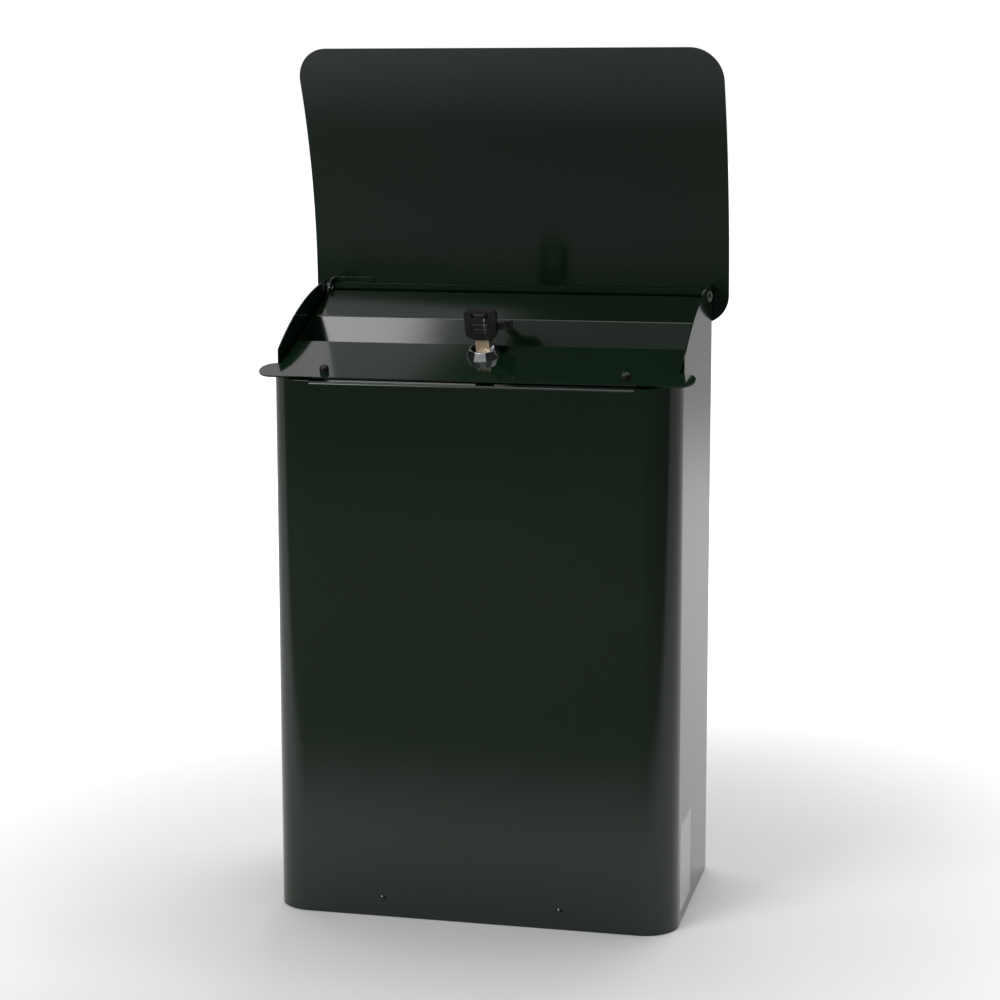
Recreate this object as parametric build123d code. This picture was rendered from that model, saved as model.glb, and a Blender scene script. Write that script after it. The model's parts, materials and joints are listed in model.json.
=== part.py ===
from build123d import *
import os
from math import atan2, cos, degrees, radians, sin, sqrt

# Wall mounted mailbox of folded sheet steel, shown with its outer lid open, its inner lid
# shut and a key in the lock. Millimetres, +Z up, +Y into the wall. The origin is the centre
# of the four wall screws, on the wall's surface; the front faces -Y.

# ---- overall sizes ----
width = 370.0               # outside, across the side walls
depth = 203.0               # front panel to the rear edge of the side walls
height = 564.0              # floor edge to the rear top of the side walls
standoff = 20.0             # from the rear edge of the side walls to the wall

# ---- body sheet ----
sheet = 1.0                 # body, back and floor thickness
corner_r = 32.0             # upright front corners, outside
bend_r = 2.5                # other bends, outside
arch_r = 320.0              # curve of the side walls' top edge
arch_back = 4.0             # the curve's centre lies this far behind the side walls
rear_corner_r = 8.0         # top rear corner of a side wall
return_flange = 14.0        # rear edge of a side wall, folded inwards
front_flange = 14.0         # top edge of the front panel, folded inwards, which the cam catches
front_flange_end = 39.0     # from a side wall to the end of that fold
seat_gap = 0.3              # under a lid or a plate that rests on an edge
panel_gap = 0.2             # at the edges of the back panel and the floor

# ---- wall screws and spacers ----
screw_side = 65.0           # from a side wall's face
screw_low = 100.0           # lower screws above the walls' lower edge
screw_drop = 64.0           # upper screws below the side walls' rear top
screw_hole_r = 3.25
spacer_r = 9.0
spigot_r = 5.5              # the spacer's end that snaps into the back panel

# ---- floor ----
floor_flange = 24.0
floor_rise = 1.0            # underside of the floor above the walls' lower edge
floor_rivet_x = 82.0
floor_rivet_z = 15.8
drain_r = 3.0

# ---- blind rivets ----
rivet_r = 2.0
rivet_head_r = 4.0
rivet_head_h = 1.6
rivet_tail_h = 1.5
back_rivet_low = 60.0       # lowest pair above the walls' lower edge
back_rivet_drop = 54.0      # highest pair below the side walls' rear top
back_rivet_rows = 4

# ---- lid pivots ----
pivot_in = 16.5             # pivot axis in front of the side walls' rear edge
pivot_drop = 10.0           # below the side walls' rear top
pivot_r = 3.0
pivot_play = 0.06           # radial, in the moving ears
pivot_head_r = 5.8
pivot_head_h = 2.6
pivot_tail_r = 4.5
ear_r = 8.0                 # rounded end of an ear round its pivot
side_gap = 0.3              # between the side wall and a bracket's ear

# ---- outer lid ----
lid_overhang = 15.0         # past each side wall
lid_sheet = 1.0
lid_r = 450.0               # inner radius of its curve
lid_offset = 20.0           # pivot axis to the lid's inner face
lid_below = 27.5            # lid's rear edge below the pivot, with the lid open
lid_arc_height = 6.0        # centre of the curve below the pivot, with the lid open
lid_rise = 227.0            # lid's front edge above the pivot, with the lid open
lid_rear_corner_r = 26.0
lid_front_corner_r = 30.0
bracket_sheet = 1.5
bracket_length = 40.0
bracket_up = 10.5           # leaf's top above the pivot
bracket_down = 9.0          # leaf's bottom below the pivot

# ---- inner lid ----
inner_sheet = 1.5
cheek_gap = 1.2             # between a bracket's ear and the inner lid's cheek
rear_edge_in = 4.0          # rear edge in front of the side walls' rear edge
rear_edge_drop = 4.7        # below the side walls' rear top, as the next three
slot_rear_in = 70.0
slot_rear_drop = 30.0
slot_front_in = 124.0
slot_front_drop = 48.5
front_edge_back = 4.5       # front edge behind the front panel's face
front_edge_drop = 72.0
deflector = 57.0            # length of the flap behind the slot
deflector_lean = 14.0       # degrees, its foot towards the front
cheek = 24.0
cheek_front = 36.0          # front end of a cheek in front of the slot
ear_overhang = 12.0         # tip of a finger ear past the side wall
ear_length = 26.5           # along the front edge's depth
ear_notch = 2.0             # the side wall's step behind the ear
washer_r = 6.5
washer_gap = 0.1

# ---- rubber bumpers ----
bumper_x = 136.0
bumper_back = 11.5          # behind the inner lid's front edge
bumper_r = 4.2
bumper_h = 6.5
bumper_stem_r = 2.0

# ---- cam lock ----
lock_back = 52.5            # behind the inner lid's front edge
bezel_r = 15.5
bezel_top_r = 12.4
bezel_h = 7.5
bezel_sides = 16
dish_r = 10.6
dish_depth = 4.0
barrel_r = 9.0
barrel_flat = 8.0           # axis to each flat of the barrel
barrel_length = 20.0
nut_across = 24.0
nut_h = 4.0
plug_r = 6.0
plug_play = 0.05
cam_sheet = 2.0
cam_width = 14.0
cam_catch = 7.0             # tip of the cam behind the front panel's face, when locked
cam_crank = 5.0
cam_crank_start = 14.0
cam_gap = 0.4
tail_side = 7.0             # square end of the plug in the cam
cam_screw_r = 2.0
cam_screw_grip = 4.0        # thread inside the plug
cam_screw_head_r = 4.5
cam_screw_head_h = 2.6
cam_washer_r = 6.0
cam_washer_h = 1.0

# ---- keys ----
key_thick = 2.2
key_blade_w = 8.0
key_neck_w = 12.4
key_in_lock = 21.0
key_neck_top = 26.0         # hidden end of the blade inside the bow
bow_bottom = 16.0
bow_top = 44.5
bow_w = 29.5
bow_thick = 6.6
bow_corner_r = 4.5
bow_foot_w = 13.0
bow_foot_rise = 4.0
bow_slot_top_w = 19.0
bow_slot_low_w = 13.0
bow_slot_room = 1.8         # height of the slot beyond what the ring's curve needs
bow_slot_z = 37.0
keyway_play = 0.15

# ---- ring and spare key ----
ring_x = 4.7                # where the ring sits in the bow's slot, right of the middle
ring_room = 7.7             # inner radius beyond half a bow's thickness
ring_wire_r = 0.95
ring_lean = 10.0            # degrees, the ring's foot to the right, clear of the key's neck
ring_play = 0.15
spare_droop = 20.0          # degrees, the spare key's blade below the plate's slope
spare_turn = 10.0           # degrees, the spare key's blade to the right of straight back
spare_shift = 3.0           # the ring in the spare key's slot, left of its middle

# ---- blank label on the right side wall ----
label_w = 62.0
label_h = 80.0
label_in = 105.0            # its rear edge in front of the side wall's rear edge
label_low = 11.0
label_thick = 0.15
label_corner_r = 3.0

# ---- places worked out from the sizes ----
back_y = -standoff
front_y = back_y - depth
half = width / 2
inside = half - sheet
screw_dx = width - 2 * screw_side
screw_dz = height - screw_low - screw_drop
floor_z = -screw_low - screw_dz / 2
lid_width = width + 2 * lid_overhang
front_flange_half = half - front_flange_end
front_edge_in = depth - front_edge_back
ear_rear_in = front_edge_in - ear_length


def y_in(distance):
    """Y of a point this far in front of the side walls' rear edge."""
    return back_y - distance


def z_up(distance):
    """Z of a point this far above the lower edge."""
    return floor_z + distance


pivot_y = y_in(pivot_in)
pivot_z = z_up(height - pivot_drop)
rear_edge = (y_in(rear_edge_in), z_up(height - rear_edge_drop))
slot_rear = (y_in(slot_rear_in), z_up(height - slot_rear_drop))
slot_front = (y_in(slot_front_in), z_up(height - slot_front_drop))
front_edge = (y_in(front_edge_in), z_up(height - front_edge_drop))
rivet_step = (height - back_rivet_low - back_rivet_drop) / (back_rivet_rows - 1)
back_rivet_heights = [back_rivet_low + row * rivet_step for row in range(back_rivet_rows)]


def on_line(a, b, y):
    """Height at y of the line through two points of the side view."""
    return a[1] + (b[1] - a[1]) * (y - a[0]) / (b[0] - a[0])


def front_plate_z(y):
    return on_line(front_edge, slot_front, y)


def rear_plate_z(y):
    return on_line(slot_rear, rear_edge, y)


plate_slope = atan2(slot_front[1] - front_edge[1], slot_front[0] - front_edge[0])
plate_drop = inner_sheet / cos(plate_slope)
front_top = front_plate_z(front_y) - plate_drop - seat_gap


def block(x0, x1, y0, y1, z0, z1):
    return Pos((x0 + x1) / 2, (y0 + y1) / 2, (z0 + z1) / 2) * Box(
        abs(x1 - x0), abs(y1 - y0), abs(z1 - z0)
    )


def side_prism(face, x0, x1):
    """A face drawn in (Y, Z), made solid from x0 to x1."""
    return Pos(x0, 0, 0) * extrude(Plane.YZ * face, x1 - x0)


def across_x(x0, x1, y, z, radius):
    """A round bar along X."""
    return Pos((x0 + x1) / 2, y, z) * Rot(0, 90, 0) * Cylinder(radius, abs(x1 - x0))


def along_y(x, y0, y1, z, radius):
    """A round bar along Y."""
    return Pos(x, (y0 + y1) / 2, z) * Rot(90, 0, 0) * Cylinder(radius, abs(y1 - y0))


def folded(points, radius, thickness, side=Side.LEFT):
    """The section of a folded sheet whose one face follows the points."""
    path = FilletPolyline(*points, radius=radius)
    return make_face(offset(path, amount=thickness, side=side))


def dome(radius, rise):
    """A shallow rivet head, flat side down at z=0."""
    ball = (radius**2 + rise**2) / (2 * rise)
    return (Pos(0, 0, rise - ball) * Sphere(ball)) & (Pos(0, 0, rise / 2) * Cylinder(radius, rise))


def rivet_along_y(x, z, outer_y, grip, facing):
    """A blind rivet whose head sits on outer_y and faces the way facing points (+1 or -1)."""
    head = Pos(x, outer_y, z) * Rot(-90 * facing, 0, 0) * dome(rivet_head_r, rivet_head_h)
    end = outer_y - facing * (grip + rivet_tail_h)
    shank = along_y(x, outer_y, end, z, rivet_r)
    tail = along_y(x, outer_y - facing * grip, end, z, rivet_r + 1)
    return head + shank + tail


def mirror_x(shape):
    return mirror(shape, Plane.YZ)


# ---- body shell: front and both sides from one sheet ----
arch_y = back_y + arch_back
arch_z = z_up(height) - sqrt(arch_r**2 - arch_back**2)


def arch_at(y):
    return arch_z + sqrt(arch_r**2 - (y - arch_y) ** 2)


def make_body_shell():
    plan = folded(
        [
            (half - return_flange, back_y), (half, back_y), (half, front_y),
            (-half, front_y), (-half, back_y), (-half + return_flange, back_y),
        ],
        [bend_r, corner_r, corner_r, bend_r], sheet, Side.RIGHT,
    )
    walls = Pos(0, 0, floor_z) * extrude(plan, height)
    notch_y = y_in(ear_rear_in - ear_notch)
    under_ear = front_plate_z(notch_y) - plate_drop - seat_gap
    mid_y = (back_y + notch_y) / 2
    top = make_face(
        Polyline((notch_y, arch_at(notch_y)), (notch_y, under_ear), (front_y, front_top),
                 (front_y, floor_z), (back_y, floor_z), (back_y, arch_at(back_y)))
        + ThreePointArc((back_y, arch_at(back_y)), (mid_y, arch_at(mid_y)), (notch_y, arch_at(notch_y)))
    )
    rear_top = top.vertices().sort_by(Axis.X)[-2:].sort_by(Axis.Y)[-1]
    walls &= side_prism(fillet(rear_top, rear_corner_r), -half, half)

    # the return flanges stop below the bracket ears
    ear_foot = pivot_z - bracket_down - seat_gap
    walls -= block(-inside, inside, back_y - 2 * bend_r, back_y + 1, ear_foot, arch_z + arch_r)

    # the front panel's top edge is folded inwards between the corners
    lip_z = front_top - bend_r - 0.5
    walls -= block(-front_flange_half, front_flange_half, front_y - 1, front_y + bend_r, lip_z, front_top + 1)
    lip = folded(
        [(front_y, lip_z - 1), (front_y, front_top - 0.5), (front_y + front_flange, front_top - 0.5)],
        bend_r, sheet, Side.RIGHT,
    )
    walls += side_prism(lip, -front_flange_half, front_flange_half)

    walls -= across_x(-half - 1, half + 1, pivot_y, pivot_z, pivot_r)
    for side in (-1, 1):
        walls -= along_y(side * floor_rivet_x, front_y - 1, front_y + 2, z_up(floor_rivet_z), rivet_r)
        for rise in back_rivet_heights:
            walls -= along_y(side * (half - return_flange / 2), back_y - 2, back_y + 1, z_up(rise), rivet_r)
    return walls


# ---- back panel, inside the return flanges ----
panel_rear = back_y - sheet
panel_front = panel_rear - sheet


def make_back_panel():
    edge = half - bend_r - panel_gap
    top_z = rear_edge[1]
    panel = block(-edge, edge, panel_front, panel_rear, z_up(floor_rise), top_z)
    notch_x = half - return_flange + 3
    ear_foot = pivot_z - bracket_down - seat_gap
    for side in (-1, 1):
        panel -= block(side * notch_x, side * half, panel_front - 1, back_y, ear_foot, top_z + 1)
        for rise in back_rivet_heights:
            panel -= along_y(side * (half - return_flange / 2), panel_front - 1, back_y, z_up(rise), rivet_r)
        panel -= along_y(side * floor_rivet_x, panel_front - 1, back_y, z_up(floor_rivet_z), rivet_r)
        for up in (-1, 1):
            panel -= along_y(side * screw_dx / 2, panel_front - 1, back_y, up * screw_dz / 2, spigot_r)
    return panel


def make_back_rivets():
    rivets = []
    for side in (-1, 1):
        for rise in back_rivet_heights:
            x = side * (half - return_flange / 2)
            rivets.append(rivet_along_y(x, z_up(rise), back_y, 2 * sheet, 1))
    return Compound(rivets)


def make_wall_spacers():
    spacers = []
    for side in (-1, 1):
        for up in (-1, 1):
            x, z = side * screw_dx / 2, up * screw_dz / 2
            sleeve = along_y(x, panel_rear, 0, z, spacer_r) + along_y(x, panel_front, panel_rear, z, spigot_r)
            spacers.append(sleeve - along_y(x, panel_front - 1, 1, z, screw_hole_r))
    return Compound(spacers)


# ---- floor tray, riveted to the front and the back ----
def make_floor_plate():
    low = z_up(floor_rise)
    edge = inside - panel_gap
    front = front_y + sheet
    rear = panel_front
    straight = half - corner_r - 4
    tray = block(-edge, edge, front, rear, low, low + sheet)
    corners = tray.edges().filter_by(Axis.Z).group_by(Axis.Y)[0]
    tray = fillet(corners, corner_r - sheet)
    tray += block(-straight, straight, front, front + sheet, low, low + floor_flange)
    tray += block(-straight, straight, rear - sheet, rear, low, low + floor_flange)
    for side in (-1, 1):
        tray += block(side * (edge - sheet), side * edge, front + corner_r + 4, rear - 12, low, low + floor_flange)
        tray -= along_y(side * floor_rivet_x, front_y, back_y, z_up(floor_rivet_z), rivet_r)
        for y in (front + depth / 4, rear - depth / 4):
            tray -= Pos(side * width / 3, y, low) * Cylinder(drain_r, 4 * sheet)
    return tray


def make_floor_rivets():
    rivets = []
    for side in (-1, 1):
        rivets.append(rivet_along_y(side * floor_rivet_x, z_up(floor_rivet_z), front_y, 2 * sheet, -1))
        rivets.append(rivet_along_y(side * floor_rivet_x, z_up(floor_rivet_z), panel_rear, 2 * sheet, 1))
    return Compound(rivets)


# ---- pivot rivets and washers, shared by both lids ----
ear_outer = inside - side_gap
ear_inner = ear_outer - bracket_sheet
inner_half = ear_inner - cheek_gap
cheek_inner = inner_half - inner_sheet


def make_pivot_rivets():
    tail_end = cheek_inner - 0.2 - 1.6
    rivet = across_x(half, tail_end, pivot_y, pivot_z, pivot_r)
    rivet += across_x(cheek_inner - 0.2, tail_end, pivot_y, pivot_z, pivot_tail_r)
    rivet += Pos(half, pivot_y, pivot_z) * Rot(0, 90, 0) * dome(pivot_head_r, pivot_head_h)
    return Compound([rivet, mirror_x(rivet)])


def make_pivot_washers():
    washer = across_x(inner_half + washer_gap, ear_inner - washer_gap, pivot_y, pivot_z, washer_r)
    washer -= across_x(inner_half - 1, half, pivot_y, pivot_z, pivot_r)
    return Compound([washer, mirror_x(washer)])


# ---- outer lid: a curved sheet behind the body, hung on two brackets ----
lid_face_y = pivot_y + lid_offset
lid_centre_y = lid_face_y - lid_r
lid_centre_z = pivot_z - lid_arc_height


def lid_ring(inner_r, outer_r, low, high):
    """The section between two radii about the lid's centre, from one height to another."""
    section = Circle(outer_r) - Circle(inner_r)
    window = Pos(outer_r, (low + high) / 2 - lid_centre_z) * Rectangle(outer_r, high - low)
    return Pos(lid_centre_y, lid_centre_z) * (section & window)


def make_outer_lid():
    low = pivot_z - lid_below
    high = pivot_z + lid_rise
    rolled = lid_ring(lid_r, lid_r + lid_sheet, low - lid_rear_corner_r, high + lid_front_corner_r)
    outline = Pos(0, (low + high) / 2) * Rectangle(lid_width, high - low)
    outline = fillet(outline.vertices().group_by(Axis.Y)[0], lid_rear_corner_r)
    outline = fillet(outline.vertices().group_by(Axis.Y)[-1], lid_front_corner_r)
    blank = Pos(0, 2 * standoff, 0) * extrude(Plane.XZ * outline, 2 * depth)
    return side_prism(rolled, -lid_width, lid_width) & blank


def make_bracket():
    """Right-hand bracket: a leaf on the lid's inner face and an ear to the pivot."""
    low, high = pivot_z - bracket_down, pivot_z + bracket_up
    leaf = lid_ring(lid_r - bracket_sheet, lid_r, low, high)
    bracket = side_prism(leaf, ear_outer - bracket_length, ear_outer)
    leaf_y = lid_face_y - bracket_sheet / 2
    ear = Pos(pivot_y, pivot_z) * Circle(ear_r)
    ear += make_face(Polyline((pivot_y, pivot_z - ear_r), (leaf_y, low + 0.2), (leaf_y, high - 0.2),
                              (pivot_y, pivot_z + ear_r), close=True))
    ear -= Pos(pivot_y, pivot_z) * Circle(pivot_r + pivot_play)
    return bracket + side_prism(ear, ear_inner, ear_outer)


# ---- inner lid: rear plate with the slot's deflector, front plate with ears, two cheeks ----
# Pieces on the front plate are drawn from its front edge, in its own plane.
lid_plane = Plane(origin=(0, *front_edge), x_dir=(1, 0, 0), z_dir=(0, -sin(plate_slope), cos(plate_slope)))
lock_run = lock_back / cos(plate_slope)
bumper_run = bumper_back / cos(plate_slope)
lock_place = lid_plane * Pos(0, lock_run, 0)


def lock_hole(play):
    """The lock barrel's section, round with two flats."""
    return Circle(barrel_r + play) & Rectangle(2 * (barrel_flat + play), 4 * barrel_r)


def make_inner_lid():
    lean = radians(deflector_lean)
    flap_foot = (slot_rear[0] - deflector * sin(lean), slot_rear[1] - deflector * cos(lean))
    rear = folded([rear_edge, slot_rear, flap_foot], bend_r, inner_sheet)
    lid = side_prism(rear, -inner_half, inner_half)

    run = (slot_front[0] - front_edge[0]) / cos(plate_slope)
    ear_run = (y_in(ear_rear_in) - front_edge[0]) / cos(plate_slope)
    plate = Pos(0, run / 2) * Rectangle(2 * inner_half, run)
    plate += Pos(0, ear_run / 2) * Rectangle(width + 2 * ear_overhang, ear_run)
    tips = plate.vertices().sort_by(Axis.X)
    plate = fillet(tips[:2] + tips[-2:], ear_run / 2 - 0.5)
    plate -= Pos(0, lock_run) * lock_hole(0.1)
    for side in (-1, 1):
        plate -= Pos(side * bumper_x, bumper_run) * Circle(bumper_stem_r)
    lid += lid_plane * Pos(0, 0, -inner_sheet) * extrude(plate, inner_sheet)

    cheek_end = slot_front[0] - cheek_front
    cheek_start = pivot_y - ear_r
    profile = make_face(Polyline(
        (pivot_y + ear_r / 2, rear_plate_z(pivot_y + ear_r / 2)), slot_rear, slot_front,
        (cheek_end, front_plate_z(cheek_end)), (cheek_end + cheek / 2, front_plate_z(cheek_end) - cheek + 4),
        (slot_front[0], slot_front[1] - cheek), (slot_rear[0], slot_rear[1] - cheek),
        (cheek_start, rear_plate_z(cheek_start) - cheek), (pivot_y, pivot_z - ear_r), close=True))
    profile += Pos(pivot_y, pivot_z) * Circle(ear_r)
    for side in (-1, 1):
        lid += side_prism(profile, *sorted((side * cheek_inner, side * inner_half)))

    # the rivet tails and the pivots themselves
    for side in (-1, 1):
        lid -= block(side * (cheek_inner - 3.5), side * cheek_inner,
                     pivot_y - pivot_tail_r - 1, pivot_y + pivot_tail_r + 1, pivot_z - 6, pivot_z + 6)
    lid -= across_x(-half, half, pivot_y, pivot_z, pivot_r + pivot_play)
    return lid


def make_bumpers():
    bumpers = []
    for side in (-1, 1):
        cap = Cylinder(bumper_r, bumper_h, align=(Align.CENTER, Align.CENTER, Align.MIN))
        cap = fillet(cap.edges().sort_by(Axis.Z)[-1], bumper_r * 0.7)
        stem = Cylinder(bumper_stem_r, inner_sheet, align=(Align.CENTER, Align.CENTER, Align.MAX))
        barb = Pos(0, 0, -inner_sheet) * Cone(1, bumper_stem_r + 0.8, 3, align=(Align.CENTER, Align.CENTER, Align.MAX))
        bumpers.append(lid_plane * Pos(side * bumper_x, bumper_run, 0) * (cap + stem + barb))
    return Compound(bumpers)


# ---- cam lock, drawn upright on its own axis, with the plate's top face at z=0 ----
up = (Align.CENTER, Align.CENTER, Align.MIN)
down = (Align.CENTER, Align.CENTER, Align.MAX)
plug_top = bezel_h - dish_depth
cam_top = -barrel_length - cam_gap
cam_bottom = cam_top - cam_sheet
cam_reach = lock_back + front_edge_back - cam_catch


def make_lock_housing():
    apothem = cos(radians(180 / bezel_sides))
    lean = degrees(atan2((bezel_r - bezel_top_r) * apothem, bezel_h))
    housing = extrude(RegularPolygon(bezel_r, bezel_sides), bezel_h, taper=lean)
    housing += extrude(lock_hole(0), -barrel_length)
    dish = Cone(plug_r + 0.6, dish_r, dish_depth, align=up)
    housing -= Pos(0, 0, bezel_h - dish_depth) * dish
    return housing - Cylinder(plug_r + plug_play, 4 * barrel_length)


def make_lock_nut():
    nut = extrude(RegularPolygon(nut_across / sqrt(3), 6), -nut_h)
    return Pos(0, 0, -inner_sheet) * (nut - extrude(lock_hole(0), -nut_h))


def make_lock_plug():
    plug = Pos(0, 0, plug_top) * Cylinder(plug_r, plug_top + barrel_length + cam_gap, align=down)
    tail = Pos(0, 0, cam_top) * Box(tail_side, tail_side, cam_sheet, align=down)
    plug += tail
    keyway = Box(key_blade_w + 2 * keyway_play, key_thick + 2 * keyway_play,
                 key_in_lock + 0.4, align=down)
    plug -= Pos(0, 0, plug_top) * keyway
    return plug - Pos(0, 0, cam_bottom) * Cylinder(cam_screw_r, cam_screw_grip, align=up)


def make_lock_cam():
    """Cranked arm, pointing to +X when the lock is open."""
    flat = cam_crank_start
    line = [(-cam_width / 2, cam_top), (flat, cam_top), (flat + cam_crank, cam_top + cam_crank),
            (cam_reach, cam_top + cam_crank)]
    section = folded(line, 1.0, cam_sheet, Side.RIGHT)
    arm = Pos(0, cam_width / 2, 0) * extrude(Plane.XZ * section, cam_width)
    ends = arm.edges().filter_by(Axis.Z).sort_by(Axis.X)
    arm = fillet(ends[:2] + ends[-2:], cam_width / 2 - 1)
    return arm - Pos(0, 0, cam_top + 1) * Box(tail_side, tail_side, 2 * cam_sheet, align=down)


def make_cam_washer():
    washer = Cylinder(cam_washer_r, cam_washer_h, align=down) - Cylinder(cam_screw_r, 9)
    return Pos(0, 0, cam_bottom) * washer


def make_cam_screw():
    head = Cylinder(cam_screw_head_r, cam_screw_head_h, align=down)
    head = fillet(head.edges().sort_by(Axis.Z)[0], 1)
    head -= Pos(0, 0, -cam_screw_head_h) * (Box(6, 1, 2.4) + Box(1, 6, 2.4))
    shank = Cylinder(cam_screw_r, cam_washer_h + cam_screw_grip, align=up)
    return Pos(0, 0, cam_bottom - cam_washer_h) * (head + shank)


# ---- keys, drawn upright with the plate's top face at z=0, flat in XZ ----
ring_inner_r = bow_thick / 2 + ring_room
bow_chord = sqrt(ring_inner_r**2 - (bow_thick / 2) ** 2)    # ring's centre to a bow's faces inside it
bow_slot_h = 2 * ring_wire_r + ring_inner_r - bow_chord + bow_slot_room


def make_key_blade():
    tip = plug_top - key_in_lock
    blade = make_face(Polyline(
        (-1.5, tip), (1.5, tip), (key_blade_w / 2, tip + 2.5), (key_blade_w / 2, plug_top + 0.3),
        (key_neck_w / 2, plug_top + 0.3), (key_neck_w / 2, key_neck_top), (-key_neck_w / 2, key_neck_top),
        (-key_neck_w / 2, plug_top + 0.3), (-key_blade_w / 2, plug_top + 0.3),
        (-key_blade_w / 2, tip + 2.5), close=True))
    return Pos(0, key_thick / 2, 0) * extrude(Plane.XZ * blade, key_thick)


def make_key_bow():
    foot = bow_bottom + bow_foot_rise
    outline = make_face(Polyline(
        (-bow_foot_w / 2, bow_bottom), (bow_foot_w / 2, bow_bottom), (bow_w / 2 - 1, foot),
        (bow_w / 2, bow_top), (-bow_w / 2, bow_top), (-bow_w / 2 + 1, foot), close=True))
    outline = fillet(outline.vertices().group_by(Axis.Y)[-1], bow_corner_r)
    outline = fillet(outline.vertices().group_by(Axis.Y)[1], 1.6)
    slot = make_face(Polyline(
        (-bow_slot_low_w / 2, bow_slot_z), (bow_slot_low_w / 2, bow_slot_z),
        (bow_slot_top_w / 2, bow_slot_z + bow_slot_h), (-bow_slot_top_w / 2, bow_slot_z + bow_slot_h), close=True))
    bow = Pos(0, bow_thick / 2, 0) * extrude(Plane.XZ * (outline - slot), bow_thick)
    rim = Pos(0, bow_bottom + 12) * Rectangle(bow_w - 12, 9)
    for face in (-1, 1):
        panel = extrude(Plane.XZ * rim, 0.6, both=True)
        bow -= Pos(0, face * bow_thick / 2, 0) * panel
    return bow - make_key_blade()


ring_mid_r = ring_inner_r + ring_wire_r
ring_hang = bow_chord - ring_play
ring_place = Pos(ring_x, 0, bow_slot_z) * Rot(0, -ring_lean, 0) * Pos(0, 0, -ring_hang)


def make_ring():
    """Key ring through the slots of both bows, standing across the first one."""
    return ring_place * Rot(0, 90, 0) * Torus(ring_mid_r, ring_wire_r)


# The spare key hangs on the ring's rear side, where the ring runs square to its flat, and its
# blade points back and down over the mail slot.
thread_angle = radians(spare_droop)
thread = Pos(0, ring_mid_r * cos(thread_angle), -ring_mid_r * sin(thread_angle))
spare_slot_z = bow_slot_z + bow_slot_h - (ring_mid_r - bow_chord) - ring_play
spare_place = (ring_place * thread * Rot(90 - spare_droop, 0, 0) * Rot(0, spare_turn, 0)
               * Pos(spare_shift, 0, -spare_slot_z))


def make_label():
    face = fillet(Rectangle(label_w, label_h).vertices(), label_corner_r)
    label = side_prism(face, 0, label_thick)
    return Pos(half, y_in(label_in + label_w / 2), z_up(label_low + label_h / 2)) * label


parts = {
    "body_shell": make_body_shell(),
    "back_panel": make_back_panel(),
    "floor_plate": make_floor_plate(),
    "floor_rivets": make_floor_rivets(),
    "back_rivets": make_back_rivets(),
    "wall_spacers": make_wall_spacers(),
    "pivot_rivets": make_pivot_rivets(),
    "pivot_washers": make_pivot_washers(),
    "outer_lid": make_outer_lid(),
    "lid_bracket_right": make_bracket(),
    "lid_bracket_left": mirror_x(make_bracket()),
    "inner_lid": make_inner_lid(),
    "lid_bumpers": make_bumpers(),
    "lock_housing": lock_place * make_lock_housing(),
    "lock_nut": lock_place * make_lock_nut(),
    "lock_plug": lock_place * make_lock_plug(),
    "lock_cam": lock_place * make_lock_cam(),
    "cam_washer": lock_place * make_cam_washer(),
    "cam_screw": lock_place * make_cam_screw(),
    "key_blade": lock_place * make_key_blade(),
    "key_bow": lock_place * make_key_bow(),
    "key_ring": lock_place * make_ring(),
    "spare_key_blade": lock_place * spare_place * make_key_blade(),
    "spare_key_bow": lock_place * spare_place * make_key_bow(),
    "side_label": make_label(),
}

os.makedirs("parts", exist_ok=True)
for name, shape in parts.items():
    export_step(shape, f"parts/{name}.step")
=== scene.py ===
import json
from math import pi, radians
import bmesh
import bpy
from mathutils import Matrix, Vector

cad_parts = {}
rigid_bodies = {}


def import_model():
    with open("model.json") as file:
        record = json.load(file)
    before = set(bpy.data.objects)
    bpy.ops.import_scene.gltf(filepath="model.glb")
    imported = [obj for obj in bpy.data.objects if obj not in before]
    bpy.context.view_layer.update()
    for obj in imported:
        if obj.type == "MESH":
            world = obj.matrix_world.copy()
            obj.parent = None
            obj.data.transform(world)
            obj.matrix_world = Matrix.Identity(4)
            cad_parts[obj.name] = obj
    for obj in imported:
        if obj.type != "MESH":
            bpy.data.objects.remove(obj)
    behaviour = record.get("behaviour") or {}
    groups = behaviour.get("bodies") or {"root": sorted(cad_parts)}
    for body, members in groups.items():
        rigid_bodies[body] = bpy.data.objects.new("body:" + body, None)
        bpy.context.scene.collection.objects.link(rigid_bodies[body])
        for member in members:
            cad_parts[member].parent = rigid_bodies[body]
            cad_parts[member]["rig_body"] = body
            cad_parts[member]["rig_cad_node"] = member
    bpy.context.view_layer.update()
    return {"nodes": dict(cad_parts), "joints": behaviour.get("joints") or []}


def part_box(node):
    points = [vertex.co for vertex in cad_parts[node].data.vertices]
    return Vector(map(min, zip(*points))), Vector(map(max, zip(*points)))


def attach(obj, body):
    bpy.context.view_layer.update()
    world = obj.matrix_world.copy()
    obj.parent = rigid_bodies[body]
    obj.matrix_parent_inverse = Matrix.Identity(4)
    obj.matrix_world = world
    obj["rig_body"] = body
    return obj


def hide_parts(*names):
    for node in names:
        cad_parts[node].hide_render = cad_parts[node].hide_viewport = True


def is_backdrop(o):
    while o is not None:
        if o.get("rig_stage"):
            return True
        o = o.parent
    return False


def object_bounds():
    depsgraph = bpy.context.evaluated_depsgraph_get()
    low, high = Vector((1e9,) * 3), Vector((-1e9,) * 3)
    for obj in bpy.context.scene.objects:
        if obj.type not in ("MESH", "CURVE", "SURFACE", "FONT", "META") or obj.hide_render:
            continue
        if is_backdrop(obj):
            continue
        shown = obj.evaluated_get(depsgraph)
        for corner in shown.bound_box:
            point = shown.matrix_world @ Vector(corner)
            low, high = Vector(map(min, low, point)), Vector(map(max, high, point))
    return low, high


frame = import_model()
bpy.ops.object.select_all(action="DESELECT")

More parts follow.
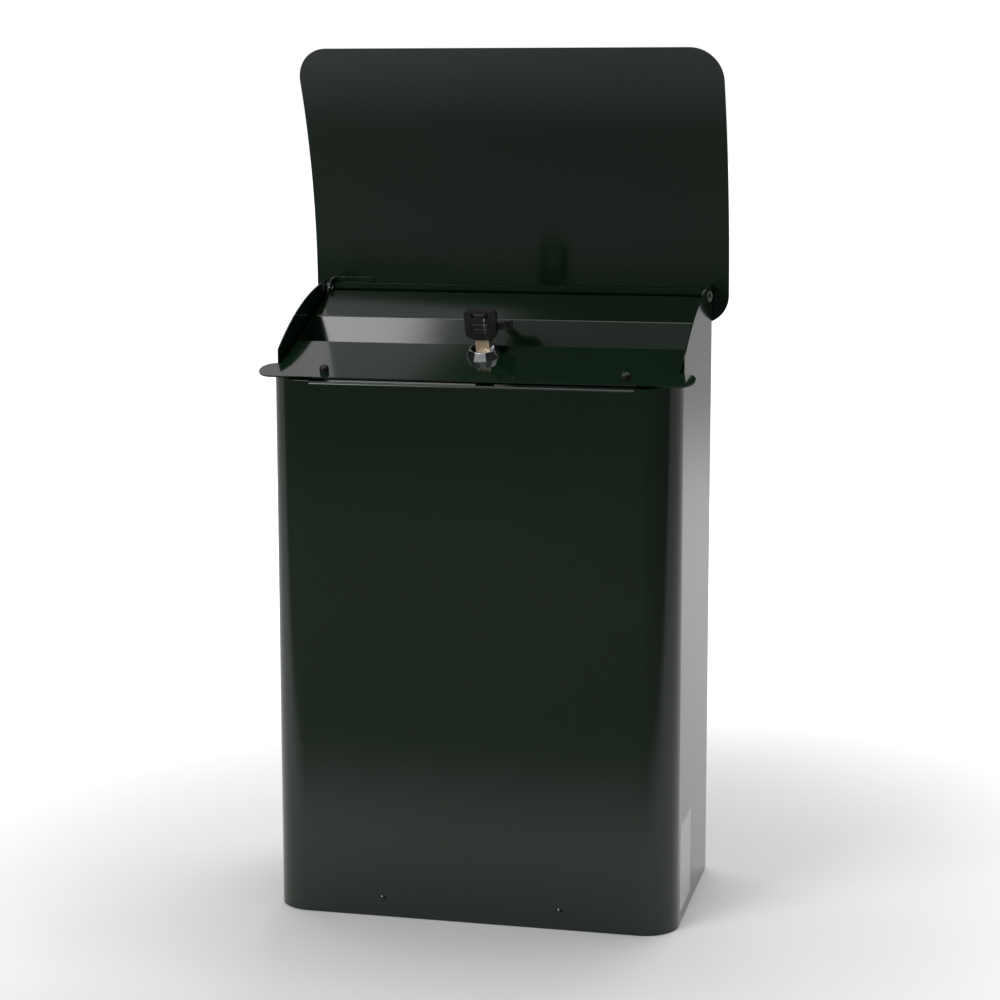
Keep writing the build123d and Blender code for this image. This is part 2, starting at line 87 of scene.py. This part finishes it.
# ---- Camera ----
# A long lens a little above the lids, to the right of the middle and looking slightly down.
camera_at = Vector((0.494, -2.259, 0.451))
camera_yaw, camera_pitch, camera_roll = radians(12.89), radians(8.67), radians(-0.07)
lens_in_widths = 2.419                                  # the focal length, in sensor widths
bpy.ops.object.camera_add(location=camera_at)
camera = bpy.context.object
camera.rotation_mode = "QUATERNION"
camera.rotation_quaternion = (
    Matrix.Rotation(camera_yaw, 3, "Z") @ Matrix.Rotation(pi / 2 - camera_pitch, 3, "X")
    @ Matrix.Rotation(camera_roll, 3, "Z")).to_quaternion()
camera.data.sensor_width = 36
camera.data.lens = lens_in_widths * camera.data.sensor_width
camera.data.shift_y = -0.05
camera.data.clip_end = 60
bpy.context.scene.camera = camera
bpy.context.scene.view_settings.view_transform = "Standard"


# ---- Studio ----
# A pale floor with a grey cloth in front of the box, a grey card in front, a pale surround behind
# and soft lights high on the left, above and behind. The camera sees the surround and the far
# floor as plain white, and only reflections see them as they are.
mm = 0.001


class Wire:
    """One output socket of a shader node. Sums on it add nodes to its tree."""

    def __init__(self, tree, socket):
        self.tree, self.socket = tree, socket

    def add(self, kind, inputs=None, output=0, **settings):
        """A new node of this kind, with its settings made first and then its inputs."""
        node = self.tree.nodes.new("ShaderNode" + kind)
        for name, value in settings.items():
            setattr(node, name, value)
        for name, value in (inputs or {}).items():
            if isinstance(value, Wire):
                self.tree.links.new(value.socket, node.inputs[name])
            else:
                node.inputs[name].default_value = value
        return Wire(self.tree, node.outputs[output])

    def maths(self, operation, *others):
        values = {i + 1: other for i, other in enumerate(others)}
        return self.add("Math", {0: self, **values}, operation=operation)

    def __add__(self, other):
        return self.maths("ADD", other)

    def __mul__(self, other):
        return self.maths("MULTIPLY", other)

    def __sub__(self, other):
        return self.maths("SUBTRACT", other)

    def __rsub__(self, other):
        return (self * -1) + other

    __radd__ = __add__

    def step(self, low, high):
        """0 below low, 1 above high, smooth between."""
        return self.add("MapRange", {0: self, 1: low, 2: high, 3: 0.0, 4: 1.0},
                        interpolation_type="SMOOTHSTEP")

    def noise(self, size, detail=2.0, roughness=0.5):
        """Noise whose lumps are about this many metres across."""
        return self.add("TexNoise", {"Vector": self, "Scale": 1 / size, "Detail": detail,
                                     "Roughness": roughness})

    def mix(self, dark, light):
        """Blends two colours, or wires of them, by this value."""
        return self.add("Mix", {0: self, 6: dark, 7: light}, output=2, data_type="RGBA")

    def bump(self, depth, **under):
        """A normal from this height, 0 to 1 being depth metres. Normal= lays it over another."""
        return self.add("Bump", {"Height": self, "Distance": depth, "Strength": 1.0, **under})

    def axes(self):
        """Its X, Y and Z."""
        split = self.add("SeparateXYZ", {0: self})
        return [Wire(self.tree, out) for out in split.socket.node.outputs]


def new_finish(name):
    """A material with its Principled shader, and a wire on Object coordinates."""
    material = bpy.data.materials.new(name)
    material.use_nodes = True
    tree = material.node_tree
    shader = next(n for n in tree.nodes if n.type == "BSDF_PRINCIPLED")
    place = Wire(tree, None).add("TexCoord", output=3)
    return material, shader, place


def feed(shader, name, value):
    """Links a wire to one of the shader's inputs, or sets a number or colour there."""
    if isinstance(value, Wire):
        value.tree.links.new(value.socket, shader.inputs[name])
    else:
        shader.inputs[name].default_value = value


def colour(red, green, blue):
    """A colour given by its 0 to 255 screen values, as the shader wants it."""
    return tuple((c / 255 / 12.92 if c <= 10 else ((c / 255 + 0.055) / 1.055) ** 2.4)
                 for c in (red, green, blue)) + (1.0,)


floor_size, floor_gap = 40, 0.5 * mm                    # the floor lies just clear of the box
cloth_full_y, cloth_gone_y = -0.85, -0.4                # the cloth's front edge fades out over these
box_middle_y = -0.1
shaded_r, white_r = 0.25, 1.3                           # the floor turns white over these distances
floor_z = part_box("body_shell")[0].z - floor_gap
bpy.ops.mesh.primitive_plane_add(size=floor_size, location=(0, 0, floor_z))
studio_floor = bpy.context.object
studio_floor.name = "studio_floor"
floor_paint, floor_shader, floor_place = new_finish("pale_floor")
floor_x, floor_y = floor_place.axes()[:2]
off_cloth = floor_y.step(cloth_full_y, cloth_gone_y)
from_middle = floor_y + -box_middle_y
far_off = (floor_x * floor_x + from_middle * from_middle).maths("SQRT").step(shaded_r, white_r)
grain = floor_place.noise(0.4).mix(colour(232, 232, 232), colour(238, 238, 238))
feed(floor_shader, "Base Color", off_cloth.mix(colour(118, 118, 118), grain))
whitened = far_off * Wire(floor_paint.node_tree, None).add("LightPath", output=0)
feed(floor_shader, "Emission Color", whitened.mix((0, 0, 0, 1), (0.85, 0.85, 0.85, 1)))
feed(floor_shader, "Emission Strength", 1.0)
feed(floor_shader, "Roughness", 0.9)
studio_floor.data.materials.append(floor_paint)
studio_floor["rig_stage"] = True

world = bpy.data.worlds.new("studio")
world.use_nodes = True
bpy.context.scene.world = world
sky = world.node_tree
background = next(n for n in sky.nodes if n.type == "BACKGROUND")
sky_x, sky_y, sky_z = Wire(sky, None).add("TexCoord", output=0).axes()
azimuth = sky_x.maths("ARCTAN2", sky_y * -1)            # 0 in front of the box, positive to its right
card_middle, card_half, card_blur = radians(-13), radians(27), radians(3)
dim, card_light, rear_light, ceiling_light = 0.02, 0.3, 0.8, 0.12
from_card = (azimuth - card_middle).maths("ABSOLUTE")
card = 1 - from_card.step(card_half, card_half + card_blur)
behind = azimuth.maths("ABSOLUTE").step(radians(98), radians(118))
ceiling = sky_z.step(0.5, 0.9)
light = dim + card * card_light + behind * rear_light + ceiling * ceiling_light
seen = Wire(sky, None).add("LightPath", output=0)
shade = light * (1 - seen) + seen
sky.links.new(shade.socket, background.inputs["Strength"])
background.inputs["Color"].default_value = (1, 1, 1, 1)


def soft_light(name, at, aim, size, power):
    """A rectangular light of this size in metres and power in watts, turned towards aim."""
    bpy.ops.object.light_add(type="AREA", location=at)
    lamp = bpy.context.object
    lamp.name = name
    lamp.data.shape = "RECTANGLE"
    lamp.data.size, lamp.data.size_y = size
    lamp.data.energy = power
    lamp.rotation_mode = "QUATERNION"
    lamp.rotation_quaternion = (Vector(aim) - Vector(at)).to_track_quat("-Z", "Y")


soft_light("key_light", (-1.25, -2.1, 1.3), (0, 0, 0.1), (1.25, 1.1), 30)
soft_light("top_light", (0.2, -0.3, 2.4), (0, 0, 0), (2.4, 2.0), 20)
soft_light("rear_light", (0.3, 2.2, 1.6), (0, 0, 0), (2.4, 1.6), 24)


# ---- Body, back panel and floor ----
# Folded sheet steel: one sheet makes the front and both sides, and the back panel and the floor
# tray are riveted in. A dark green gloss powder coat covers them, with a fine orange peel, and
# rolls round every cut edge, so each sheet's edges are rounded a little.
paint_dark, paint_light = colour(14, 31, 18), colour(16, 34, 20)
peel_size, peel_depth = 3.2 * mm, 0.007 * mm
ripple_size, ripple_depth = 45 * mm, 0.02 * mm
cloud_size, dust_size = 60 * mm, 0.8 * mm
smoothest, uneven = 0.07, 0.03
sheet_edge = 0.28 * mm


def powder_coat(name):
    """Green powder coat: orange peel over long, faint ripples."""
    material, shader, place = new_finish(name)
    peel = place.noise(peel_size, 2.0, 0.55)
    cloud = place.noise(cloud_size, 3.0)
    feed(shader, "Base Color", cloud.mix(paint_dark, paint_light))
    dust = place.noise(dust_size, 1.0)
    feed(shader, "Roughness", cloud * uneven + dust * uneven + smoothest)
    ripple = place.noise(ripple_size, 1.0).bump(ripple_depth)
    feed(shader, "Normal", peel.bump(peel_depth, Normal=ripple))
    shader.inputs["IOR"].default_value = 1.52
    return material


def deselect():
    """Back to object mode with nothing selected."""
    if bpy.context.mode != "OBJECT":
        bpy.ops.object.mode_set(mode="OBJECT")
    bpy.ops.object.select_all(action="DESELECT")


def choose(piece):
    """Makes this the only selected object, and the active one."""
    deselect()
    piece.select_set(True)
    bpy.context.view_layer.objects.active = piece


def apply_modifier(piece, kind, **settings):
    bpy.context.view_layer.objects.active = piece
    modifier = piece.modifiers.new(kind.lower(), kind)
    for name, value in settings.items():
        setattr(modifier, name, value)
    bpy.ops.object.modifier_apply(modifier=modifier.name)


def copy_of(node):
    """A copy of a CAD node's mesh as a piece of its own, its triangles merged into whole faces."""
    piece = frame["nodes"][node].copy()
    piece.data = frame["nodes"][node].data.copy()
    piece.name = node + "_finished"
    piece.parent = None
    bpy.context.collection.objects.link(piece)
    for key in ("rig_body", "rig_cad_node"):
        del piece[key]
    choose(piece)
    bpy.ops.object.mode_set(mode="EDIT")
    bpy.ops.mesh.select_all(action="SELECT")
    bpy.ops.mesh.remove_doubles(threshold=0.004 * mm)
    bpy.ops.mesh.dissolve_limited(angle_limit=radians(0.5))
    bpy.ops.object.mode_set(mode="OBJECT")
    return piece


def round_edges(piece, radius, corner=35, segments=2):
    apply_modifier(piece, "BEVEL", width=radius, segments=segments, limit_method="ANGLE",
                   angle_limit=radians(corner), use_clamp_overlap=True)


def place_piece(piece, node, finish, smooth=30):
    """Shades the piece, gives it its finish, and lets it stand for the CAD node."""
    choose(piece)
    bpy.ops.object.shade_smooth_by_angle(angle=radians(smooth))
    apply_modifier(piece, "WEIGHTED_NORMAL", keep_sharp=True, weight=100)
    piece.data.materials.clear()
    piece.data.materials.append(finish)
    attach(piece, frame["nodes"][node]["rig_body"])
    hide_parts(node)


def rounded(node, radius, finish, corner=35, segments=2):
    """A CAD piece with its cut edges rounded, standing in for the plain one."""
    piece = copy_of(node)
    round_edges(piece, radius, corner, segments)
    place_piece(piece, node, finish)


green_coat = powder_coat("green_powder_coat")
for node in ("body_shell", "back_panel", "floor_plate"):
    rounded(node, sheet_edge, green_coat)


# ---- Blind rivets ----
# Steel blind rivets with low domed heads, painted with the body. The pin breaks off inside as
# each is pulled up, which leaves a small round hole in the middle of its head.
rivet_head_r = 4 * mm
pin_hole_r, pin_hole_depth = 1.05 * mm, 0.9 * mm
rivet_coat = powder_coat("green_rivet_coat")


def cut_away(piece, cutters):
    """Cuts the other pieces out of this one."""
    choose(cutters[0])
    for cutter in cutters:
        cutter.select_set(True)
    bpy.ops.object.join()
    apply_modifier(piece, "BOOLEAN", object=cutters[0], operation="DIFFERENCE", solver="EXACT")
    bpy.data.objects.remove(cutters[0])


def drill(x, y, z):
    """A bar along Y, half sunk in a rivet's head."""
    bpy.ops.mesh.primitive_cylinder_add(vertices=24, radius=pin_hole_r, depth=2 * pin_hole_depth,
                                        location=(x, y, z), rotation=(pi / 2, 0, 0))
    return bpy.context.object


def drilled_rivets(node, levels, head_ys):
    """Rivets left and right at each level, with the tops of their heads at each of these Y."""
    low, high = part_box(node)
    columns = (low.x + rivet_head_r, high.x - rivet_head_r)
    piece = copy_of(node)
    cut_away(piece, [drill(x, y, z) for x in columns for z in levels for y in head_ys])
    round_edges(piece, 0.12 * mm)
    place_piece(piece, node, rivet_coat)


low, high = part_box("floor_rivets")
drilled_rivets("floor_rivets", [(low.z + high.z) / 2], (low.y, high.y))
low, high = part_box("back_rivets")
rivet_rows = 4
lowest, highest = low.z + rivet_head_r, high.z - rivet_head_r
levels = [lowest + (highest - lowest) * row / (rivet_rows - 1) for row in range(rivet_rows)]
drilled_rivets("back_rivets", levels, (high.y,))


# ---- Wall spacers ----
# Black moulded sleeves that stand the box off the wall, snapped into the back panel's holes.
# The mould leaves a fine grain on them.
def moulded_plastic(name, dark, light, grain, rough):
    material, shader, place = new_finish(name)
    skin = place.noise(grain, 3.0, 0.6)
    wear = place.noise(9 * mm, 3.0)
    feed(shader, "Base Color", wear.mix(dark, light))
    feed(shader, "Roughness", skin * 0.12 + wear * 0.06 + rough)
    feed(shader, "Normal", skin.bump(0.02 * mm))
    return material


spacer_plastic = moulded_plastic("black_spacer_plastic", colour(22, 22, 23), colour(34, 34, 35),
                                 grain=0.7 * mm, rough=0.34)
rounded("wall_spacers", 0.5 * mm, spacer_plastic, segments=3)


# ---- Pivots ----
# A domed steel rivet through the side wall, the outer lid's bracket and the inner lid's cheek on
# each side, painted outside, with a natural nylon washer between the two lids.
rounded("pivot_rivets", 0.15 * mm, rivet_coat)
nylon, nylon_shader, nylon_place = new_finish("natural_nylon")
nylon_cloud = nylon_place.noise(3 * mm, 3.0)
feed(nylon_shader, "Base Color", nylon_cloud.mix(colour(214, 211, 200), colour(228, 226, 217)))
feed(nylon_shader, "Roughness", nylon_cloud * 0.15 + 0.38)
feed(nylon_shader, "Normal", nylon_place.noise(0.6 * mm).bump(0.01 * mm))
rounded("pivot_washers", 0.2 * mm, nylon)


# ---- Outer lid ----
# A rolled steel sheet with rounded corners, spot welded to two bent brackets that hang it on the
# pivots. Painted like the body.
for node in ("outer_lid", "lid_bracket_left", "lid_bracket_right"):
    rounded(node, sheet_edge, green_coat)


# ---- Inner lid ----
# Two bent plates with the mail slot between them, joined by a cheek at each side. The front plate
# ends in two finger ears. It gets the same coat.
rounded("inner_lid", 1.6 * sheet_edge, green_coat, segments=3)


# ---- Bumpers ----
# Soft black rubber domes with fine upright ribs, pushed into holes in the front plate so that
# the outer lid closes without a clang.
def joint_axis(name):
    joint = next(joint for joint in frame["joints"] if joint["name"] == name)
    return Vector(joint["axis"]).normalized()


lock_axis = joint_axis("key_pull")                      # square to the front plate
plate_turn = lock_axis.to_track_quat("Z", "Y").to_euler()
bumper_r, bumper_h, rib_depth = 4.2 * mm, 6.5 * mm, 0.22 * mm
ribs, rib_taper = 24, 0.03 * mm
rubber = moulded_plastic("black_rubber_bumper", colour(20, 20, 20), colour(31, 31, 31),
                         grain=0.5 * mm, rough=0.42)


def pick_faces(piece, numbers):
    """Opens the piece for editing with just these faces selected."""
    choose(piece)
    bpy.ops.object.mode_set(mode="EDIT")
    bpy.ops.mesh.select_mode(type="FACE")
    bpy.ops.mesh.select_all(action="DESELECT")
    mesh = bmesh.from_edit_mesh(piece.data)
    for face in mesh.faces:
        if face.index in numbers:
            face.select_set(True)
    bmesh.update_edit_mesh(piece.data)


def ribbed_bumper(top):
    """A skirt whose every other side face stands out as a rib, under a smooth dome."""
    skirt_h, inner_r = bumper_h * 0.55, bumper_r - rib_depth
    bpy.ops.mesh.primitive_cylinder_add(vertices=2 * ribs, radius=inner_r, depth=skirt_h,
                                        rotation=plate_turn,
                                        location=top - lock_axis * (bumper_h - skirt_h / 2))
    skirt = bpy.context.object
    bpy.ops.object.transform_apply()
    sides = [face.index for face in skirt.data.polygons if abs(face.normal.dot(lock_axis)) < 0.1]
    pick_faces(skirt, sides[::2])
    bpy.ops.mesh.inset(thickness=rib_taper, depth=rib_depth, use_individual=True)
    bpy.ops.object.mode_set(mode="OBJECT")
    bpy.ops.mesh.primitive_uv_sphere_add(segments=2 * ribs, ring_count=20, radius=inner_r,
                                         rotation=plate_turn,
                                         location=top - lock_axis * (bumper_h - skirt_h))
    cap = bpy.context.object
    cap.scale = (1, 1, (bumper_h - skirt_h) / inner_r)
    bpy.ops.object.transform_apply()
    return [skirt, cap]


across = lock_axis.cross(Vector((1, 0, 0)))
bumpers = []
for side in (-1, 1):
    deselect()
    points = [v.co for v in frame["nodes"]["lid_bumpers"].data.vertices if v.co.x * side > 0]
    reach = [p.dot(across) for p in points]
    middle_x = (min(p.x for p in points) + max(p.x for p in points)) / 2
    top = (Vector((middle_x, 0, 0)) + across * (min(reach) + max(reach)) / 2
           + lock_axis * max(p.dot(lock_axis) for p in points))
    bumpers += ribbed_bumper(top)

# the stems and barbs below the plate's top face stay as they are
stems = copy_of("lid_bumpers")
bpy.ops.object.mode_set(mode="EDIT")
bpy.ops.mesh.select_all(action="SELECT")
bpy.ops.mesh.bisect(plane_co=top - lock_axis * bumper_h, plane_no=lock_axis, clear_outer=True)
bpy.ops.mesh.select_all(action="SELECT")
bpy.ops.mesh.fill_holes(sides=0)
choose(stems)
for part in bumpers:
    part.select_set(True)
bpy.ops.object.join()
place_piece(stems, "lid_bumpers", rubber, smooth=40)


# ---- Cam lock ----
# A chromed zinc housing with a faceted bezel, held by a nut under the plate. A plated plug turns
# in it and carries the zinc plated steel cam on its end, under a washer and a screw.
def plated(name, dark, light, rough, scratch, metallic=1.0):
    """Plated metal with a cloudy film and hairlines, which scratch makes deeper."""
    material, shader, place = new_finish(name)
    film = place.noise(7 * mm, 3.0)
    hairline = place.add("Mapping", {0: place, 3: (1.0, 1.0, 9.0)}).noise(1.2 * mm, 4.0, 0.7)
    feed(shader, "Base Color", film.mix(dark, light))
    feed(shader, "Metallic", metallic)
    feed(shader, "Roughness", film * 0.05 + hairline * scratch + rough)
    feed(shader, "Normal", hairline.bump(scratch * 0.02 * mm))
    return material


chrome = plated("chromed_zinc", colour(200, 201, 204), colour(224, 225, 228), 0.05, 0.05)
zinc = plated("zinc_plate", colour(165, 165, 160), colour(196, 195, 188), 0.24, 0.2)
rounded("lock_housing", 0.35 * mm, chrome, corner=12, segments=3)
rounded("lock_plug", 0.2 * mm, chrome)
for node in ("lock_nut", "lock_cam", "cam_washer", "cam_screw"):
    rounded(node, 0.3 * mm, zinc)


# ---- Keys ----
# Two keys of nickel plated brass with a milled groove in each face, each in a black moulded bow
# with a raised rim. One stands in the lock and the other hangs from the ring.
key_metal = plated("nickel_plated_brass", colour(206, 184, 152), colour(230, 210, 180),
                   rough=0.3, scratch=0.14, metallic=0.6)
bow_plastic = moulded_plastic("black_bow_plastic", colour(19, 19, 20), colour(29, 29, 31),
                              grain=0.45 * mm, rough=0.3)
groove_margin, groove_slope, groove_depth = 2.3 * mm, 0.3 * mm, 0.45 * mm
panel_depth, panel_least_area = 0.6 * mm, 60 * mm * mm
frame_margin, frame_slope, frame_width, frame_height = 1.7 * mm, 0.25 * mm, 0.45 * mm, 0.3 * mm


def broadest_first(piece):
    return sorted(piece.data.polygons, key=lambda face: -face.area)


def key_blade(node):
    """Each flat gets a groove that follows its outline."""
    blade = copy_of(node)
    pick_faces(blade, [face.index for face in broadest_first(blade)[:2]])
    bpy.ops.mesh.inset(thickness=groove_margin, depth=0)
    bpy.ops.mesh.inset(thickness=groove_slope, depth=-groove_depth)
    bpy.ops.object.mode_set(mode="OBJECT")
    round_edges(blade, 0.12 * mm)
    place_piece(blade, node, key_metal)


def key_bow(node):
    """The recessed panel on each face gets a fine raised frame inside it."""
    bow = copy_of(node)
    flat = broadest_first(bow)[0].normal.copy()
    heights = [v.co.dot(flat) for v in bow.data.vertices]
    middle = sum(heights) / len(heights)
    floor_level = max(heights) - middle - panel_depth / 2
    panels = [face.index for face in bow.data.polygons
              if abs(face.normal.dot(flat)) > 0.99 and face.area > panel_least_area
              and abs(face.center.dot(flat) - middle) < floor_level]
    pick_faces(bow, panels)
    bpy.ops.mesh.inset(thickness=frame_margin, depth=0)
    bpy.ops.mesh.inset(thickness=frame_slope, depth=frame_height)
    bpy.ops.mesh.inset(thickness=frame_width, depth=0)
    bpy.ops.mesh.inset(thickness=frame_slope, depth=-frame_height)
    bpy.ops.object.mode_set(mode="OBJECT")
    round_edges(bow, 0.55 * mm, corner=50, segments=3)
    place_piece(bow, node, bow_plastic)


for node in ("key_blade", "spare_key_blade"):
    key_blade(node)
for node in ("key_bow", "spare_key_bow"):
    key_bow(node)


# ---- Key ring ----
# A split ring: two turns of flattened spring wire, nickel plated, lying against each other. It
# passes through the slots of both bows.
ring_axis = joint_axis("ring_turn")
low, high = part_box("key_ring")
ring_middle = (low + high) / 2
ring_points = [v.co for v in frame["nodes"]["key_ring"].data.vertices]
wire_wide, wire_thin = 0.95 * mm, 0.3 * mm              # half the wire's width and half its thickness
turns, turn_pitch, turn_steps = 2, 0.62 * mm, 72
ring_mid_r = max((point - ring_middle).length for point in ring_points) - wire_wide
deselect()
bpy.ops.mesh.primitive_circle_add(vertices=20, radius=wire_wide, location=(ring_mid_r, 0, 0),
                                  rotation=(pi / 2, 0, 0))
ring = bpy.context.object
ring.scale = (1, wire_thin / wire_wide, 1)
bpy.ops.object.transform_apply()
apply_modifier(ring, "SCREW", axis="Z", angle=turns * 2 * pi, screw_offset=turns * turn_pitch,
               steps=turns * turn_steps, render_steps=turns * turn_steps, use_merge_vertices=False)
bpy.ops.object.mode_set(mode="EDIT")
bpy.ops.mesh.select_all(action="SELECT")
bpy.ops.mesh.fill_holes(sides=0)
bpy.ops.mesh.select_all(action="SELECT")
bpy.ops.mesh.normals_make_consistent(inside=False)
bpy.ops.object.mode_set(mode="OBJECT")
ring.rotation_mode = "QUATERNION"
ring.rotation_quaternion = ring_axis.to_track_quat("Z", "Y")
ring.location = ring_middle - ring_axis * turns * turn_pitch / 2
bpy.ops.object.transform_apply()
ring.name = "split_ring"
spring_wire = plated("nickel_plated_wire", colour(178, 176, 170), colour(206, 204, 198),
                     rough=0.14, scratch=0.12)
place_piece(ring, "key_ring", spring_wire, smooth=50)


# ---- Side label ----
# A blank silver film stuck low on the right side wall, its surface faintly brushed.
film, film_shader, film_place = new_finish("silver_label_film")
film_brush = film_place.add("Mapping", {0: film_place, 3: (1.0, 1.0, 14.0)}).noise(2 * mm, 4.0, 0.6)
feed(film_shader, "Base Color", film_brush.mix(colour(178, 180, 182), colour(203, 205, 207)))
feed(film_shader, "Metallic", 0.35)
feed(film_shader, "Roughness", film_brush * 0.12 + 0.28)
rounded("side_label", 0.05 * mm, film)

low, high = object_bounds()
